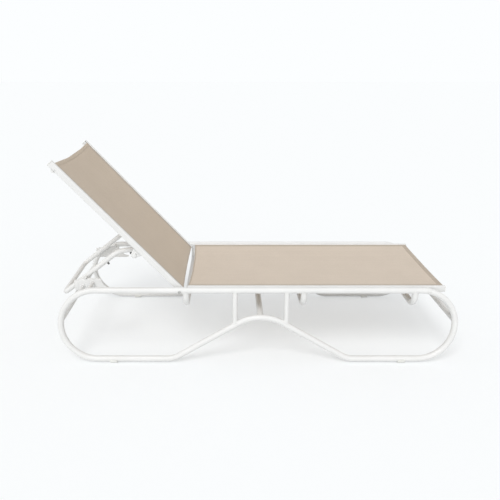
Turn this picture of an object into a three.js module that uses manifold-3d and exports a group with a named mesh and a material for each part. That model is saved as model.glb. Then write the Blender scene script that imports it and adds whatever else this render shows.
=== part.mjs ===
// Sling chaise lounge. Two side loops of bent tube, joined by cross tubes, carry a fabric sling
// between a pair of slotted rails. The back is a second sling frame that turns on two pivot bolts,
// and a bent prop under it rests its pins on two notched racks at the head end.
// Millimetres. +X points to the foot end, +Y to the sitter's left, +Z up. The origin is on the floor,
// under the middle of the whole chaise.

import * as THREE from 'three';
import { mergeVertices } from 'three/addons/utils/BufferGeometryUtils.js';
import Module from 'manifold-3d';

const wasm = await Module();
wasm.setup();

// Side loops
const loopLength = 1950;          // head to foot, over the tube
const loopSpacing = 681;          // between the top tubes' centre lines
const loopTube = 30;              // outside diameter
const loopEndRadius = 175;        // centre line of the round ends, half of the loop's own height
const loopSplay = 7.2;            // degrees that each loop leans outward towards the floor
const archRise = 213;             // runner to the middle of the arch, centre lines, along the loop
const archSlope = 30;             // degrees
const archRadius = 220;
const kneeRadius = 120;
const archAhead = 14;             // arch's middle, from the loop's middle towards the foot

// Struts and dropped bars
const strutTube = 25;
const strutSpacing = 250;
const dropTube = 30;
const dropDepth = 82;             // top tube to the run of a dropped bar, centre lines
const dropRadius = 55;
const dropHeadAhead = 30;         // head bar, ahead of the back's pivot
const dropFootBehind = 28;        // foot bar, short of the foot bend
const dropMiddleShare = 0.515;    // middle bar's place between those two

// Glides under the runners
const glideDrop = 5;              // below the tube
const glideWall = 6;              // around the tube
const glideLength = 36;
const glideFromBend = 77;         // from the end bend's start

// Slotted rails, the same for the seat and the back
const railDepth = 30;
const railWidth = 16;
const railCorner = 4;
const railWall = 2;
const railInset = 29.5;           // loop's centre line to rail's centre line
const railDrop = 3;               // rails and their bolts, below the top tube's centre line
const slotCentre = 5.5;           // below the rail's face
const slotMouth = 3;
const slotBore = 7;
const slotLip = 3;
const capThickness = 3;
const capPlug = 12;

// Seat
const seatRailAhead = 38;         // head end of the rail, ahead of the pivot
const seatRailPastBend = 121;     // foot end of the rail, past the foot bend's start
const seatBoltPastBend = 35;
const seatScrewAhead = 82;        // ahead of the pivot
const seatSlingHeadMargin = 6;    // bare rail beyond the sling
const seatSlingFootMargin = 2;
const seatSag = 9;

// Slings
const slingThickness = 2;
const beadDiameter = 5.8;

// Back
const pivotFromBend = 407;        // from the head bend's start
const backAngle = 47.3;           // degrees above level, as it rests
const backRail = 833;             // rail above the pivot
const backRailBelow = 17;         // rail below the pivot
const backSlingBottomMargin = 4;
const backSlingTopMargin = 3;
const backSag = 10;
const backBarTube = 22;
const lowerBarAlong = 270;        // from the pivot, along the back
const lowerBarBehind = 42;        // behind the rails' centre line
const upperBarInset = 33;         // from the rails' top ends
const upperBarBehind = 14;
const upperScrewBehind = 8;
const earThickness = 5;
const earMargin = 6;              // round the bar and the screws
const earScrewSpread = 46;
const earScrewBehind = 5;
const lowerBarInset = 4;          // from the rails' outer faces

// Bolts and screws
const boltDiameter = 8;
const boltHead = 15;
const boltHeadHeight = 4;
const nutDiameter = 15;
const nutHeight = 7;
const screwDiameter = 6;
const screwHead = 11;
const screwHeadHeight = 3;
const screwBite = 14;             // length inside the piece that it holds to
const spacerDiameter = 20;
const bushWall = 1.2;
const bushFlange = 16;
const flangeThickness = 1.5;

// Prop under the back
const propTube = 25;
const propWidth = 445;            // over the legs
const propUpperLength = 71;
const propUpperSlope = 7.8;       // degrees below level, as it rests
const propLowerLength = 383;
const propLowerSlope = 35;
const propBendRadius = 122;
const propCornerRadius = 42;
const propRatio = -1.75;          // turn on the back for each turn of the back
const knuckleWall = 3;
const knuckleLength = 34;
const pinDiameter = 10;
const pinAlong = 230;             // down the lower leg
const pinReach = 24;              // beyond the leg
const bufferDiameter = 10;
const bufferDepth = 11;           // below the leg
const bufferUpperAlong = 28;      // from the knuckle
const bufferLowerAlong = 96;      // down the lower leg

// Notched racks
const rackThickness = 8;
const rackPinEnd = 6;             // pin beyond the rack's outer face
const rackDepth = 62;             // below the crest
const rackCorner = 6;
const rackTurns = [-12, 0, 12];   // degrees of the back from its rest, one for each notch
const rackClearance = 1;          // pin to crest
const rackEndMargin = 9;          // past the first and last pin places
const rackToe = 52;               // foot end runs out along its lower edge
const rackEndFall = 2;            // crest's fall at both ends
const notchDepth = 4;
const notchRadius = 6;
const standoffTube = 20;
const standoffHeadInset = 40;     // from the rack's head end
const standoffSpacing = 50;

// Fits
const gap = 0.3;                  // between pieces that touch
const boreGap = 0.25;             // round a bolt, all round
const turnGap = 0.5;              // round what turns in a bush, all round
const overrun = 2;                // past the faces that a cut goes through

const TUBE_SIDES = 16;
const SMALL_SIDES = 12;
const BEND_STEP = 15;             // degrees
const SLING_SPANS = 14;
const CIRCLE = 360;               // degrees

const FRAME_WHITE = { color: 0xf2f2ef, roughness: 0.35, metalness: 0 };
const SLING_BEIGE = { color: 0xcdbfa9, roughness: 0.85, metalness: 0 };
const NYLON_WHITE = { color: 0xe6e6e0, roughness: 0.5, metalness: 0 };
const STEEL = { color: 0xb9bab8, roughness: 0.3, metalness: 1 };
const RUBBER = { color: 0x2a2a28, roughness: 0.8, metalness: 0 };

const rad = THREE.MathUtils.degToRad;
const vec = (x, y, z) => new THREE.Vector3(x, y, z);

// Places that the sizes above give, from the loops' middle, with Z from the top tube's centre line
const tubeRadius = loopTube / 2;
const loopHeight = 2 * loopEndRadius;
const floorDepth = loopHeight * Math.cos(rad(loopSplay)) + tubeRadius + glideDrop;
const halfSpacing = loopSpacing / 2;
const loopHalf = loopLength / 2 - tubeRadius;
const bendStart = loopHalf - loopEndRadius;
const pivotX = pivotFromBend - bendStart;
const railY = halfSpacing - railInset;
const railInner = railY - railWidth / 2;
const railOuter = railY + railWidth / 2;
const slingZ = railDepth / 2 - slotCentre;
const slotLipAngle = Math.asin(slotMouth / slotBore);
const beadY = railInner + slotLip + gap + Math.sqrt(beadDiameter ** 2 - slotMouth ** 2) / 2;

// Side loop: X along the chaise, v up the leaning loop from its top tube, side -1 or 1 along Y
function loopPoint(side, x, v) {
  const lean = rad(loopSplay);
  return vec(x, side * (halfSpacing - v * Math.sin(lean)), v * Math.cos(lean));
}

// Height of the top tube's centre line, which falls along the end bends
function topHeight(x) {
  const past = Math.max(0, Math.abs(x) - bendStart);
  return Math.sqrt(loopEndRadius ** 2 - past ** 2) - loopEndRadius;
}

const archTop = archRise - loopHeight;
const archCorner = archTop + archRadius * (1 / Math.cos(rad(archSlope)) - 1);
const kneeX = (archCorner + loopHeight) / Math.tan(rad(archSlope));

// Height of the arch's centre line beside its rounded top
const archHeight = (x) => archCorner - Math.abs(x - archAhead) * Math.tan(rad(archSlope));

// The back lies on the line from its pivot at backAngle, and turns by some degrees more
function backPoint(turn, along, behind) {
  const angle = rad(backAngle + turn);
  return vec(
    pivotX - along * Math.cos(angle) - behind * Math.sin(angle), 0,
    along * Math.sin(angle) - behind * Math.cos(angle) - railDrop,
  );
}

const down = (slope) => vec(-Math.cos(rad(slope)), 0, -Math.sin(rad(slope)));
const hinge = backPoint(0, lowerBarAlong, lowerBarBehind);
const propBend = hinge.clone().addScaledVector(down(propUpperSlope), propUpperLength);
const propEnd = propBend.clone().addScaledVector(down(propLowerSlope), propLowerLength);
const pin = propBend.clone().addScaledVector(down(propLowerSlope), pinAlong);
const legY = (propWidth - propTube) / 2;
const pinTip = propWidth / 2 + pinReach;

// Where the prop's pins are when the back has turned
function pinPlace(turn) {
  const arm = pin.clone().sub(hinge).applyAxisAngle(vec(0, 1, 0), rad(turn * (1 + propRatio)));
  return arm.add(backPoint(turn, lowerBarAlong, lowerBarBehind));
}

// Racks and their standoffs
const rackOuter = pinTip - rackPinEnd;
const rackInner = rackOuter - rackThickness;
const notches = rackTurns.map(pinPlace);
notches.forEach((place) => place.setZ(place.z - pinDiameter / 2 - rackClearance));
const rackHead = notches[0].x - rackEndMargin;
const rackFoot = notches[notches.length - 1].x + rackEndMargin;
const standoffs = [standoffHeadInset, standoffHeadInset + standoffSpacing].map((inset) => (
  loopPoint(1, rackHead + inset, topHeight(rackHead + inset))
));

// Each seat rail has a bolt at its foot end and a screw near its head end
const seatBolt = loopPoint(1, bendStart + seatBoltPastBend, topHeight(bendStart + seatBoltPastBend));
const seatScrew = vec(pivotX + seatScrewAhead, halfSpacing, -railDrop);
const pivot = vec(pivotX, halfSpacing, -railDrop);
const boltBore = boltDiameter + 2 * boreGap;
const screwBore = screwDiameter + 2 * boreGap;
const tubeInner = halfSpacing - tubeRadius;
const tubeOuter = halfSpacing + tubeRadius;
const screwTip = tubeInner + screwBite;

const group = new THREE.Group();
const back = new THREE.Group();
group.add(back);
back.position.set(pivotX, 0, -railDrop);
back.rotation.set(0, rad(backAngle), Math.PI);

const SIDES = [-1, 1];
const sideName = (side) => (side < 0 ? 'right' : 'left');

function add(parent, name, look, geometry) {
  const mesh = new THREE.Mesh(geometry, new THREE.MeshStandardMaterial(look));
  mesh.name = name;
  parent.add(mesh);
}

function toManifold(geometry) {
  const bare = geometry.clone();
  bare.deleteAttribute('normal');
  bare.deleteAttribute('uv');
  const merged = mergeVertices(bare);
  return new wasm.Manifold(new wasm.Mesh({
    numProp: 3,
    vertProperties: new Float32Array(merged.getAttribute('position').array),
    triVerts: new Uint32Array(merged.getIndex().array),
  }));
}

function toGeometry(manifold) {
  const mesh = manifold.getMesh();
  const geometry = new THREE.BufferGeometry();
  geometry.setAttribute('position', new THREE.BufferAttribute(mesh.vertProperties, 3));
  geometry.setIndex(new THREE.BufferAttribute(mesh.triVerts, 1));
  geometry.computeVertexNormals();
  return geometry;
}

function cut(geometry, ...tools) {
  const rest = tools.reduce((left, tool) => left.subtract(toManifold(tool)), toManifold(geometry));
  return toGeometry(rest);
}

function join(...geometries) {
  return toGeometry(geometries.map(toManifold).reduce((all, one) => all.add(one)));
}

// Solid from rings of points, one after another, with flat ends or joined to itself
function skin(rings, closed = false) {
  const sides = rings[0].length;
  const points = rings.flat();
  const faces = [];
  for (let i = 0; i < (closed ? rings.length : rings.length - 1); i++) {
    for (let k = 0; k < sides; k++) {
      const a = i * sides + k;
      const b = i * sides + (k + 1) % sides;
      const c = (i + 1) % rings.length * sides + k;
      const d = (i + 1) % rings.length * sides + (k + 1) % sides;
      faces.push([a, b, c], [b, d, c]);
    }
  }
  const last = points.length - sides;
  for (let k = 1; !closed && k < sides - 1; k++) {
    faces.push([0, k + 1, k], [last, last + k, last + k + 1]);
  }
  const volume = faces.reduce((sum, [a, b, c]) => (
    sum + points[a].dot(points[b].clone().cross(points[c]))
  ), 0);
  const outward = volume > 0 ? faces : faces.map(([a, b, c]) => [a, c, b]);
  return new THREE.BufferGeometry().setFromPoints(points).setIndex(outward.flat());
}

// Polyline through the corners, each rounded to its radius
function rounded(corners, radii, closed = false) {
  const count = corners.length;
  const points = [];
  const push = (point) => {
    if (!points.some((other) => other.distanceTo(point) < gap)) points.push(point);
  };
  corners.forEach((corner, i) => {
    if (!closed && (i === 0 || i === count - 1)) {
      push(corner);
      return;
    }
    const arrive = corner.clone().sub(corners[(i + count - 1) % count]).normalize();
    const leave = corners[(i + 1) % count].clone().sub(corner).normalize();
    const turn = arrive.angleTo(leave);
    const axis = arrive.clone().cross(leave).normalize();
    const start = corner.clone().addScaledVector(arrive, -radii[i] * Math.tan(turn / 2));
    const centre = start.clone().addScaledVector(axis.clone().cross(arrive), radii[i]);
    const steps = Math.ceil(turn / rad(BEND_STEP));
    for (let k = 0; k <= steps; k++) {
      push(start.clone().sub(centre).applyAxisAngle(axis, turn * k / steps).add(centre));
    }
  });
  return points;
}

// Round tube along a polyline, mitred at every point
function sweep(path, radius, sides = TUBE_SIDES, closed = false) {
  const count = path.length;
  const heading = (i) => path[(i + 1) % count].clone().sub(path[i]).normalize();
  let along = closed ? heading(count - 1) : heading(0);
  const upright = Math.abs(along.z) < Math.SQRT1_2 ? vec(0, 0, 1) : vec(1, 0, 0);
  const side = upright.clone().cross(along).normalize();
  const up = along.clone().cross(side);
  const rings = path.map((point, i) => {
    const next = closed || i < count - 1 ? heading(i) : along.clone();
    const mitre = along.clone().add(next).normalize();
    const ring = Array.from({ length: sides }, (_, k) => {
      const angle = 2 * Math.PI * (k + 0.5) / sides;
      const offset = side.clone().multiplyScalar(radius * Math.cos(angle));
      offset.addScaledVector(up, radius * Math.sin(angle));
      offset.addScaledVector(along, -offset.dot(mitre) / along.dot(mitre));
      return offset.add(point);
    });
    const turn = new THREE.Quaternion().setFromUnitVectors(along, next);
    side.applyQuaternion(turn);
    up.applyQuaternion(turn);
    along = next;
    return ring;
  });
  return skin(rings, closed);
}

const rod = (from, to, diameter, sides = SMALL_SIDES) => sweep([from, to], diameter / 2, sides);

// Rod along Y, on the line through the place's X and Z
const crossRod = (place, from, to, diameter, sides = SMALL_SIDES) => (
  rod(vec(place.x, from, place.z), vec(place.x, to, place.z), diameter, sides)
);

// Turned piece along Y, from pairs of Y and diameter
function turned(place, profile, sides = SMALL_SIDES) {
  return skin(profile.map(([y, diameter]) => (
    Array.from({ length: sides }, (_, k) => {
      const angle = 2 * Math.PI * (k + 0.5) / sides;
      return vec(
        place.x + diameter / 2 * Math.cos(angle), y, place.z + diameter / 2 * Math.sin(angle),
      );
    })
  )));
}

// Bolt or screw along Y: its low dome stands on the seat, its shank ends at the tip
function bolt(place, seat, tip, shank, head, height) {
  const out = Math.sign(seat - tip);
  return turned(place, [
    [tip, shank], [seat, shank], [seat, head], [seat + out * height / 2, head],
    [seat + out * height, head / 2],
  ]);
}

const ring = (place, from, to, outside, bore) => cut(
  crossRod(place, from, to, outside),
  crossRod(place, Math.min(from, to) - overrun, Math.max(from, to) + overrun, bore),
);

// Bush along Y with its flange against the face at `seat`, and its sleeve reaching to `tip`
function bush(place, seat, tip, bore, flange, sides) {
  const out = Math.sign(seat - tip);
  const face = seat + out * gap;
  const end = face + out * flangeThickness;
  const sleeve = bore + 2 * bushWall;
  const body = turned(place, [[tip, sleeve], [face, sleeve], [face, flange], [end, flange]], sides);
  return cut(body, crossRod(place, tip - out * overrun, end + out * overrun, bore, sides));
}

// Outline points along an arc, angles in degrees
function arc(x, y, radius, from, to, steps) {
  return Array.from({ length: steps + 1 }, (_, i) => {
    const angle = rad(from + (to - from) * i / steps);
    return new THREE.Vector2(x + radius * Math.cos(angle), y + radius * Math.sin(angle));
  });
}

function roundedBox(halfWidth, bottom, top, radius, steps) {
  const x = halfWidth - radius;
  return [
    ...arc(x, top - radius, radius, 0, 90, steps), ...arc(-x, top - radius, radius, 90, 180, steps),
    ...arc(-x, bottom + radius, radius, 180, 270, steps),
    ...arc(x, bottom + radius, radius, 270, 360, steps),
  ];
}

// Outline in Y and Z drawn out along X, or in X and Z drawn out along Y
function extrude(outline, axis, from, to, hole) {
  const shape = new THREE.Shape(outline);
  if (hole) shape.holes.push(new THREE.Path(hole));
  const depth = Math.abs(to - from);
  const geometry = new THREE.ExtrudeGeometry(shape, { depth, bevelEnabled: false });
  if (axis === 'x') {
    geometry.applyMatrix4(new THREE.Matrix4().makeBasis(vec(0, 1, 0), vec(0, 0, 1), vec(1, 0, 0)));
    return geometry.translate(Math.min(from, to), 0, 0);
  }
  geometry.applyMatrix4(new THREE.Matrix4().makeBasis(vec(1, 0, 0), vec(0, 0, 1), vec(0, -1, 0)));
  return geometry.translate(0, Math.max(from, to), 0);
}

// Hollow under the rail's slot, drawn in by a margin
function chamber(margin) {
  const top = slingZ - slotBore / 2 - railWall - margin;
  const bottom = railWall + margin - railDepth / 2;
  return roundedBox(railWidth / 2 - railWall - margin, bottom, top, railWall, 1);
}

// Slotted rail along X; Z is towards the sitter, and the slot opens to the middle
function rail(side, from, to) {
  const half = railWidth / 2;
  const top = railDepth / 2;
  const mouth = slotMouth / 2;
  const boreX = half - slotLip - slotBore / 2 * Math.cos(slotLipAngle);
  const lip = THREE.MathUtils.radToDeg(slotLipAngle);
  const outline = [
    new THREE.Vector2(half, slingZ - mouth),
    ...arc(boreX, slingZ, slotBore / 2, -lip, lip - CIRCLE, 12),
    new THREE.Vector2(half, slingZ + mouth),
    ...roundedBox(half, -top, top, railCorner, 3),
  ];
  const geometry = extrude(outline, 'x', from, to, chamber(0));
  if (side > 0) geometry.rotateZ(Math.PI).translate(from + to, 0, 0);
  return geometry.translate(0, side * railY, 0);
}

// Cap on a rail's end: a plate, and a plug in the rail's hollow
function railCap(side, end, out) {
  const near = end + out * gap;
  const far = near + out * capThickness;
  const half = railDepth / 2;
  const plate = extrude(roundedBox(railWidth / 2, -half, half, railCorner, 3), 'x', near, far);
  const plug = extrude(chamber(gap), 'x', near + out * gap, end - out * capPlug);
  return join(plate, plug).translate(0, side * railY, 0);
}

// Sling along X: it sags between its two beaded edges
function sling(from, to, depth) {
  const half = slingThickness / 2;
  const bead = beadDiameter / 2;
  const opening = THREE.MathUtils.radToDeg(Math.asin(half / bead));
  const row = (lift) => Array.from({ length: SLING_SPANS + 1 }, (_, i) => {
    const share = 2 * i / SLING_SPANS - 1;
    return new THREE.Vector2(share * railInner, slingZ - depth * (1 - share ** 2) + lift);
  });
  return extrude([
    ...row(half), ...arc(beadY, slingZ, bead, CIRCLE / 2 - opening, opening - CIRCLE / 2, 8),
    ...row(-half).reverse(), ...arc(-beadY, slingZ, bead, -opening, opening - CIRCLE, 8),
  ], 'x', from, to);
}

// Bent tube of one side loop
function loopTubeBody(side, radius) {
  const corners = [
    [-loopHalf, 0, loopEndRadius], [loopHalf, 0, loopEndRadius],
    [loopHalf, -loopHeight, loopEndRadius], [archAhead + kneeX, -loopHeight, kneeRadius],
    [archAhead, archCorner, archRadius], [archAhead - kneeX, -loopHeight, kneeRadius],
    [-loopHalf, -loopHeight, loopEndRadius],
  ];
  const places = corners.map(([x, v]) => loopPoint(side, x, v));
  return sweep(rounded(places, corners.map((corner) => corner[2]), true), radius, TUBE_SIDES, true);
}

const loopSeats = SIDES.map((side) => loopTubeBody(side, tubeRadius + gap));
const loopSeat = (side) => loopSeats[SIDES.indexOf(side)];

for (const side of SIDES) {
  const inside = side * (tubeInner - overrun);
  const outside = side * (tubeOuter + overrun);
  const blind = side * (screwTip + overrun);
  add(
    group, `${sideName(side)}_side_loop`, FRAME_WHITE,
    cut(
      loopTubeBody(side, tubeRadius),
      crossRod(pivot, inside, outside, boltBore), crossRod(seatBolt, inside, outside, boltBore),
      crossRod(seatScrew, inside, blind, screwBore),
    ),
  );
}

// Struts between the top tube and the arch
for (const side of SIDES) {
  for (const end of SIDES) {
    const x = archAhead + end * strutSpacing / 2;
    const strut = rod(loopPoint(side, x, 0), loopPoint(side, x, archHeight(x)), strutTube, TUBE_SIDES);
    const name = `${sideName(side)}_${end < 0 ? 'head' : 'foot'}_strut`;
    add(group, name, FRAME_WHITE, cut(strut, loopSeat(side)));
  }
}

// Cross tubes from loop to loop
function crossTube(name, x, v) {
  const tube = rod(loopPoint(-1, x, v), loopPoint(1, x, v), loopTube, TUBE_SIDES);
  add(group, name, FRAME_WHITE, cut(tube, ...loopSeats));
}
crossTube('arch_cross_tube', archAhead, archTop);
crossTube('head_cross_tube', -loopHalf, -loopEndRadius);
crossTube('foot_cross_tube', loopHalf, -loopEndRadius);

// Dropped bars, low enough for the sling to give above them
function droppedBar(name, x) {
  const corners = [
    vec(x, -halfSpacing, 0), vec(x, -halfSpacing, -dropDepth),
    vec(x, halfSpacing, -dropDepth), vec(x, halfSpacing, 0),
  ];
  const path = rounded(corners, [0, dropRadius, dropRadius, 0]);
  add(group, name, FRAME_WHITE, cut(sweep(path, dropTube / 2), ...loopSeats));
}
const dropHeadX = pivotX + dropHeadAhead;
const dropFootX = bendStart - dropFootBehind;
droppedBar('head_dropped_bar', dropHeadX);
droppedBar('middle_dropped_bar', dropHeadX + dropMiddleShare * (dropFootX - dropHeadX));
droppedBar('foot_dropped_bar', dropFootX);

// Glides: saddles round the underside of the runners, flat for the floor
for (const side of SIDES) {
  for (const end of SIDES) {
    const runner = loopPoint(side, end * (bendStart - glideFromBend), -loopHeight);
    const reach = vec(glideLength / 2, 0, 0);
    const outside = loopTube + 2 * glideWall;
    const body = rod(runner.clone().sub(reach), runner.clone().add(reach), outside, TUBE_SIDES);
    const block = new THREE.BoxGeometry(glideLength + 2 * overrun, outside + overrun, outside);
    const above = block.clone().translate(runner.x, runner.y, runner.z + outside / 2);
    const below = block.clone().translate(runner.x, runner.y, -floorDepth - outside / 2);
    const name = `${sideName(side)}_${end < 0 ? 'head' : 'foot'}_glide`;
    add(group, name, NYLON_WHITE, cut(body, above, below, loopSeat(side)));
  }
}

// Spacer along Y that fits round the loop's inner side
const spacer = (side, place, from, bore) => cut(
  ring(place, side * from, side * (tubeInner + overrun), spacerDiameter, bore), loopSeat(side),
);

// Seat: rails, foot end caps, spacers to the loops, bolts, screws and sling
const seatHead = pivotX + seatRailAhead;
const seatFoot = bendStart + seatRailPastBend;
const nutSeat = railInner - gap;
const onSeatLine = (geometry) => geometry.translate(0, 0, -railDrop);
for (const side of SIDES) {
  const name = sideName(side);
  const inside = side * (railInner - overrun);
  const outside = side * (railOuter + overrun);
  add(
    group, `${name}_seat_rail`, FRAME_WHITE,
    cut(
      onSeatLine(rail(side, seatHead, seatFoot)),
      crossRod(seatBolt, inside, outside, boltBore),
      crossRod(seatScrew, inside, outside, screwBore),
    ),
  );
  add(group, `${name}_seat_rail_cap`, NYLON_WHITE, onSeatLine(railCap(side, seatFoot, 1)));
  const bolts = railOuter + gap;
  add(group, `${name}_foot_spacer`, NYLON_WHITE, spacer(side, seatBolt, bolts, boltBore));
  add(group, `${name}_seat_spacer`, NYLON_WHITE, spacer(side, seatScrew, bolts, screwBore));
  add(
    group, `${name}_foot_bolt`, FRAME_WHITE,
    bolt(
      seatBolt, side * (seatBolt.y + tubeRadius + 2 * gap), side * railInner,
      boltDiameter, boltHead, boltHeadHeight,
    ),
  );
  add(
    group, `${name}_seat_screw`, STEEL,
    bolt(seatScrew, side * nutSeat, side * screwTip, screwDiameter, screwHead, screwHeadHeight),
  );
}
add(
  group, 'seat_sling', SLING_BEIGE,
  onSeatLine(sling(seatHead + seatSlingHeadMargin, seatFoot - seatSlingFootMargin, seatSag)),
);

// Back pivots: a bolt through the loop, a spacer, a flanged bush in the back rail and a nut
const bushFace = railOuter + gap + flangeThickness;
for (const side of SIDES) {
  const tip = nutSeat - nutHeight - overrun;
  add(
    group, `${sideName(side)}_pivot_bolt`, STEEL,
    bolt(pivot, side * (tubeOuter + gap), side * tip, boltDiameter, boltHead, boltHeadHeight),
  );
  add(
    group, `${sideName(side)}_pivot_nut`, STEEL,
    ring(pivot, side * nutSeat, side * (nutSeat - nutHeight), nutDiameter, boltBore),
  );
  add(
    group, `${sideName(side)}_pivot_spacer`, NYLON_WHITE,
    spacer(side, pivot, bushFace + gap, boltBore),
  );
}

// Racks inside the loops at the head end, each with two legs to the loop
function rackOutline() {
  const bottom = notches[1].z - rackDepth;
  const dip = THREE.MathUtils.radToDeg(Math.asin(1 - notchDepth / notchRadius));
  const first = notches[0];
  const last = notches[notches.length - 1];
  const toe = rackFoot + rackToe;
  return [
    ...arc(toe - rackCorner, bottom + rackCorner, rackCorner, CIRCLE, 270, 3),
    ...arc(rackHead + rackCorner, bottom + rackCorner, rackCorner, 270, 180, 3),
    new THREE.Vector2(rackHead, first.z - rackEndFall),
    ...notches.flatMap((place) => (
      arc(place.x, place.z - notchDepth + notchRadius, notchRadius, 180 + dip, CIRCLE - dip, 6)
    )),
    ...arc(toe, last.z - rackEndFall, rackToe, 180, 270, 5),
  ];
}
for (const side of SIDES) {
  const plate = extrude(rackOutline(), 'y', side * rackInner, side * rackOuter);
  const legs = standoffs.map((place) => (
    crossRod(place, side * (rackInner + gap), side * halfSpacing, standoffTube)
  ));
  add(group, `${sideName(side)}_rack`, FRAME_WHITE, cut(join(plate, ...legs), loopSeat(side)));
}

// Back: its own frame runs along the rails from the pivot, with Z towards the sitter
const backPivot = vec(0, 0, 0);
const lowerBar = vec(lowerBarAlong, 0, -lowerBarBehind);
const upperBar = vec(backRail - upperBarInset, 0, -upperBarBehind);
const upperScrew = vec(backRail - upperBarInset, 0, -upperScrewBehind);
const earScrews = SIDES.map((end) => (
  vec(lowerBarAlong + end * earScrewSpread / 2, 0, -earScrewBehind)
));
const pivotBore = boltDiameter + 2 * turnGap;
const bushBore = pivotBore + 2 * bushWall + 2 * gap;
for (const side of SIDES) {
  const inside = side * (railInner - overrun);
  const outside = side * (railOuter + overrun);
  const bite = side * (railInner + screwBite);
  add(
    back, `${sideName(-side)}_back_rail`, FRAME_WHITE,
    cut(
      rail(side, -backRailBelow, backRail), crossRod(upperScrew, inside, outside, screwBore),
      crossRod(backPivot, inside, outside, bushBore),
      ...earScrews.map((place) => crossRod(place, inside, bite, screwBore)),
    ),
  );
}
for (const side of SIDES) {
  const name = sideName(-side);
  add(back, `${name}_back_rail_cap`, NYLON_WHITE, railCap(side, backRail, 1));
  add(
    back, `${name}_pivot_bush`, NYLON_WHITE,
    bush(backPivot, side * railOuter, side * railInner, pivotBore, bushFlange, SMALL_SIDES),
  );
}
add(
  back, 'back_sling', SLING_BEIGE,
  sling(backSlingBottomMargin - backRailBelow, backRail - backSlingTopMargin, backSag),
);

// Upper bar, coped to run on under the rails, and screwed through them
const upperScrewTip = railInner - gap - screwBite;
const copeHalf = railDepth / 2 + gap;
const copeOutline = roundedBox(railWidth / 2 + gap, -copeHalf, copeHalf, railCorner, 3);
const copeReach = backBarTube / 2 + overrun;
const copes = SIDES.map((side) => (
  extrude(copeOutline, 'x', upperBar.x - copeReach, upperBar.x + copeReach)
    .translate(0, side * railY, 0)
));
const proudOfRail = SIDES.map((side) => (
  extrude(copeOutline, 'x', upperBar.x - copeReach, upperBar.x + copeReach)
    .translate(0, side * (railY + railWidth / 2), 0)
));
add(
  back, 'upper_back_bar', FRAME_WHITE,
  cut(
    crossRod(upperBar, -railOuter, railOuter, backBarTube, TUBE_SIDES), ...copes, ...proudOfRail,
    ...SIDES.map((side) => (
      crossRod(upperScrew, side * railInner, side * (upperScrewTip - overrun), screwBore)
    )),
  ),
);
for (const side of SIDES) {
  add(
    back, `${sideName(-side)}_upper_bar_screw`, FRAME_WHITE,
    bolt(
      upperScrew, side * (railOuter + gap), side * upperScrewTip,
      screwDiameter, screwHead, screwHeadHeight,
    ),
  );
}

// Lower bar, held behind the rails by an ear at each end; the prop turns on it
const earFace = railInner - gap - earThickness;
const lowerBarTip = railOuter - lowerBarInset;
const earRadius = backBarTube / 2 + earMargin;
const screwPadRadius = screwDiameter / 2 + earMargin;
const earOutline = [
  ...arc(lowerBar.x, lowerBar.z, earRadius, 180, 360, 8),
  ...arc(earScrews[1].x, earScrews[1].z, screwPadRadius, 0, 90, 3),
  ...arc(earScrews[0].x, earScrews[0].z, screwPadRadius, 90, 180, 3),
];
const ears = SIDES.map((side) => (
  extrude(earOutline, 'y', side * earFace, side * (earFace + earThickness))
));
add(
  back, 'lower_back_bar', FRAME_WHITE,
  cut(
    join(crossRod(lowerBar, -lowerBarTip, lowerBarTip, backBarTube, TUBE_SIDES), ...ears),
    ...SIDES.flatMap((side) => earScrews.map((place) => (
      crossRod(place, side * (earFace - overrun), side * (railInner + overrun), screwBore)
    ))),
  ),
);
for (const side of SIDES) {
  earScrews.forEach((place, i) => add(
    back, `${sideName(-side)}_${i ? 'upper' : 'lower'}_ear_screw`, STEEL,
    bolt(
      place, side * (earFace - gap), side * (railInner + screwBite - overrun),
      screwDiameter, screwHead, screwHeadHeight,
    ),
  ));
}

// Prop: a bent tube with a knuckle on each leg, bushed on the lower bar, and two pins
const barBore = backBarTube + 2 * turnGap;
const knuckleBore = barBore + 2 * bushWall + 2 * gap;
const knuckleOutside = knuckleBore + 2 * knuckleWall;
const propPath = rounded(
  [
    vec(hinge.x, -legY, hinge.z), vec(propBend.x, -legY, propBend.z),
    vec(propEnd.x, -legY, propEnd.z), vec(propEnd.x, legY, propEnd.z),
    vec(propBend.x, legY, propBend.z), vec(hinge.x, legY, hinge.z),
  ],
  [0, propBendRadius, propCornerRadius, propCornerRadius, propBendRadius, 0],
);
const knuckleEnds = SIDES.map((side) => side * legY)
  .map((y) => [y - knuckleLength / 2, y + knuckleLength / 2]);
add(
  group, 'prop', FRAME_WHITE,
  cut(
    join(
      sweep(propPath, propTube / 2),
      ...knuckleEnds.map(([from, to]) => crossRod(hinge, from, to, knuckleOutside, TUBE_SIDES)),
      ...SIDES.map((side) => crossRod(pin, side * legY, side * pinTip, pinDiameter)),
    ),
    ...knuckleEnds.map(([from, to]) => (
      crossRod(hinge, from - overrun, to + overrun, knuckleBore, TUBE_SIDES)
    )),
  ),
);
for (const side of SIDES) {
  add(
    group, `${sideName(side)}_knuckle_bush`, NYLON_WHITE,
    bush(
      hinge, side * (legY + knuckleLength / 2), side * (legY - knuckleLength / 2),
      barBore, knuckleOutside, TUBE_SIDES,
    ),
  );
}

// Rubber buffers under the prop's legs
const propSeat = sweep(propPath, propTube / 2 + gap);
function legBuffers(name, start, slope, along) {
  const place = start.clone().addScaledVector(down(slope), along);
  const below = vec(Math.sin(rad(slope)), 0, -Math.cos(rad(slope)));
  for (const side of SIDES) {
    const top = place.clone().setY(side * legY);
    const tip = top.clone().addScaledVector(below, propTube / 2 + bufferDepth);
    add(group, `${sideName(side)}_${name}`, RUBBER, cut(rod(top, tip, bufferDiameter), propSeat));
  }
}
legBuffers('upper_buffer', hinge, propUpperSlope, bufferUpperAlong);
legBuffers('lower_buffer', propBend, propLowerSlope, bufferLowerAlong);

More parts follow.
